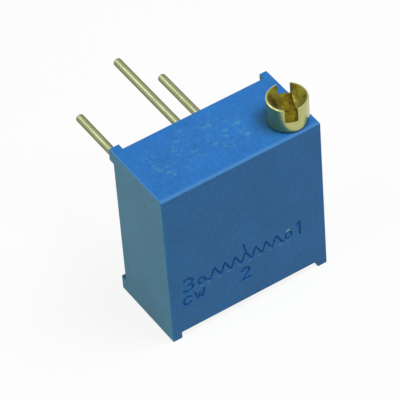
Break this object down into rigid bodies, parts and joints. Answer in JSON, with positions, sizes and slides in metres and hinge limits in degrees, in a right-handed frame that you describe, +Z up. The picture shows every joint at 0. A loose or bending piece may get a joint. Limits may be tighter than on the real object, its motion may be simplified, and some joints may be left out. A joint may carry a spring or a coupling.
{
  "type": "trimmer potentiometer",
  "caption": "Square multi-turn trimmer potentiometer with a slotted brass adjusting screw on its narrow top face and three straight round pins out of its back.",
  "frame": {"origin": "where the axis of terminal 1 meets the board, which is the plane of the back standoffs' tips", "axes": "+X to the right along the marked front face, +Y from the front face out along the terminals, +Z up along the adjusting screw towards its slot"},
  "size_m": [0.0095, 0.0114, 0.0116],
  "materials": {
    "blue_plastic": "satin moulded blue plastic",
    "potting": "glossy cast blue epoxy",
    "brass": "turned and polished brass",
    "seal_rubber": "matt silicone rubber",
    "spring_steel": "bright sheet steel",
    "carriage_plastic": "natural moulded plastic",
    "contact_alloy": "bright contact alloy sheet",
    "ceramic": "fired white alumina",
    "resistive_film": "fired dark resistive film",
    "conductor_film": "fired silver film",
    "gold_plate": "thin pale gold plating on drawn wire",
    "solder": "bright solder"
  },
  "bodies": {
    "housing": {"housing": "blue_plastic", "potting_seal": "potting", "seal_ring": "seal_rubber", "screw_retainer": "spring_steel", "element_plate": "ceramic", "resistance_track": "resistive_film", "collector_track": "conductor_film", "end_pad_1": "conductor_film", "end_pad_3": "conductor_film", "terminal_1": "gold_plate", "terminal_2": "gold_plate", "terminal_3": "gold_plate", "solder_joint_1": "solder", "solder_joint_2": "solder", "solder_joint_3": "solder"},
    "screw": {"lead_screw": "brass"},
    "carriage": {"carriage": "carriage_plastic", "wiper_spring": "contact_alloy"}
  },
  "joints": [
    {"name": "screw_turn", "type": "hinge", "parent": "housing", "child": "screw", "pos_m": [0.0013, -0.00359, 0.00406], "axis": [0, 0, 1], "range_deg": [-4500, 4500]},
    {"name": "carriage_slide", "type": "slide", "parent": "housing", "child": "carriage", "axis": [0, 0, 1], "range_m": [-0.00275, 0.00275]}
  ],
  "couplings": [
    {"joint": "screw_turn", "follows": "carriage_slide", "rad_per_m": -28560}
  ]
}
